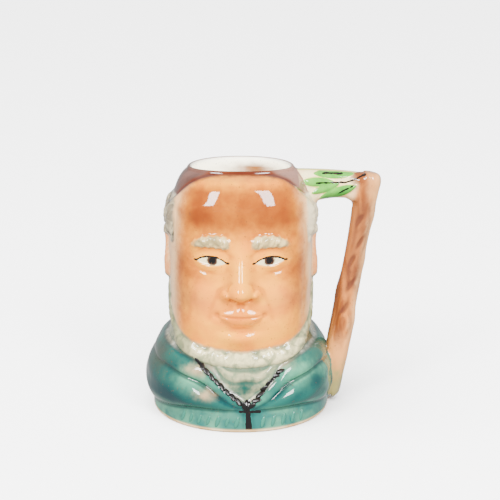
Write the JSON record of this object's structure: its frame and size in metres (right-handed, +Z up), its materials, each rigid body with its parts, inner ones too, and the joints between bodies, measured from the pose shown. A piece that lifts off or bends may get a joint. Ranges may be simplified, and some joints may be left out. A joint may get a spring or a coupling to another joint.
{
  "type": "toby jug",
  "caption": "Glazed ceramic toby jug in the shape of a cowled friar's head, open at the top, with a staff handle joined to the rim by a leafy branch.",
  "frame": {"origin": "centre of the foot's flat underside", "axes": "+Z up through the open crown, the face towards -Y and the handle towards +X"},
  "size_m": [0.0729, 0.0587, 0.076],
  "materials": {
    "glazed_earthenware": "gloss"
  },
  "bodies": {
    "root": {"jug": "glazed_earthenware"}
  },
  "joints": []
}
